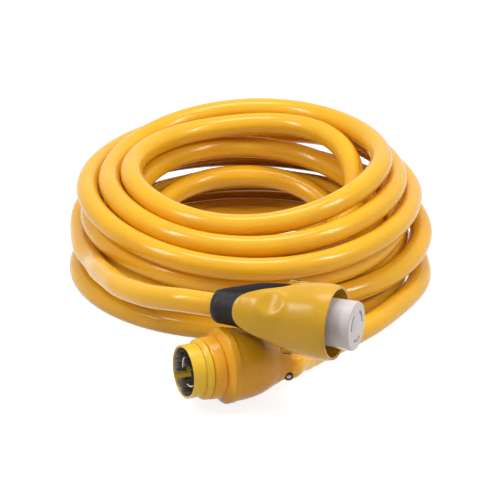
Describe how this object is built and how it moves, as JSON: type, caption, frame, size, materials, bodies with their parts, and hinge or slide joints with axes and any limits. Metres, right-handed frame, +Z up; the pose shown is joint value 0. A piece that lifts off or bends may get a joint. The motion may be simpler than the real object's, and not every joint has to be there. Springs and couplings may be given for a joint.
{
  "type": "shore power cord",
  "caption": "Heavy power cord wound in a stacked coil, with a cord connector held by two sprung jaws at one end and a shrouded twist-lock plug with a light at the other.",
  "frame": {"origin": "centre of the box round everything, at the level it lies on", "axes": "+Z up; +Y from the two ends towards the coil; +X to the right when looking from the ends towards the coil"},
  "size_m": [0.4462, 0.6928, 0.1598],
  "materials": {
    "cord": "glossy vinyl jacket",
    "grip": "matt black rubber",
    "jaw": "satin moulded plastic",
    "steel": "stainless",
    "white_insulator": "satin moulded plastic",
    "grey_insulator": "satin moulded plastic",
    "black_insulator": "satin moulded plastic",
    "brass": "bright",
    "wire_black": "wire insulation",
    "wire_red": "wire insulation",
    "wire_white": "wire insulation",
    "wire_green": "wire insulation",
    "shroud": "glossy moulded plastic",
    "shell_metal": "nickel-plated",
    "lens": "diffusing lens"
  },
  "bodies": {
    "cordset": {"cord_coil": "cord", "cord_tail_female": "cord", "cord_tail_male": "cord", "rubber_grip": "grip", "pivot_pins": "steel", "jaw_springs": "steel", "cord_clamp": "steel", "insulator_face": "white_insulator", "face_gasket": "grip", "contact_carrier": "grey_insulator", "line_contacts": "brass", "ground_contact": "brass", "terminal_screws": "steel", "face_screws": "steel", "wire_black": "wire_black", "wire_red": "wire_red", "wire_white": "wire_white", "wire_green": "wire_green", "plug_body": "cord", "plug_boot": "cord", "plug_shroud": "shroud", "rear_ring": "cord", "front_ring": "shroud", "ground_shell": "shell_metal", "contact_plate": "black_insulator", "contact_blades": "brass", "wire_block": "grey_insulator", "block_screws": "steel", "plug_wire_black": "wire_black", "plug_wire_red": "wire_red", "plug_wire_white": "wire_white", "plug_wire_green": "wire_green", "light_lens": "lens", "light_bezel": "black_insulator"},
    "near_jaw": {"near_jaw": "jaw"},
    "far_jaw": {"far_jaw": "jaw"}
  },
  "joints": [
    {"name": "near_jaw_hinge", "type": "hinge", "parent": "cordset", "child": "near_jaw", "pos_m": [0.04622, -0.28781, 0.10971], "axis": [-0.1315, -0.3683, -0.9204], "range_deg": [0, 7], "stiffness_Nm_per_rad": 1, "springref_deg": -8.59},
    {"name": "far_jaw_hinge", "type": "hinge", "parent": "cordset", "child": "far_jaw", "pos_m": [0.04622, -0.28781, 0.10971], "axis": [0.1315, 0.3683, 0.9204], "range_deg": [0, 7], "stiffness_Nm_per_rad": 1, "springref_deg": -8.59}
  ]
}
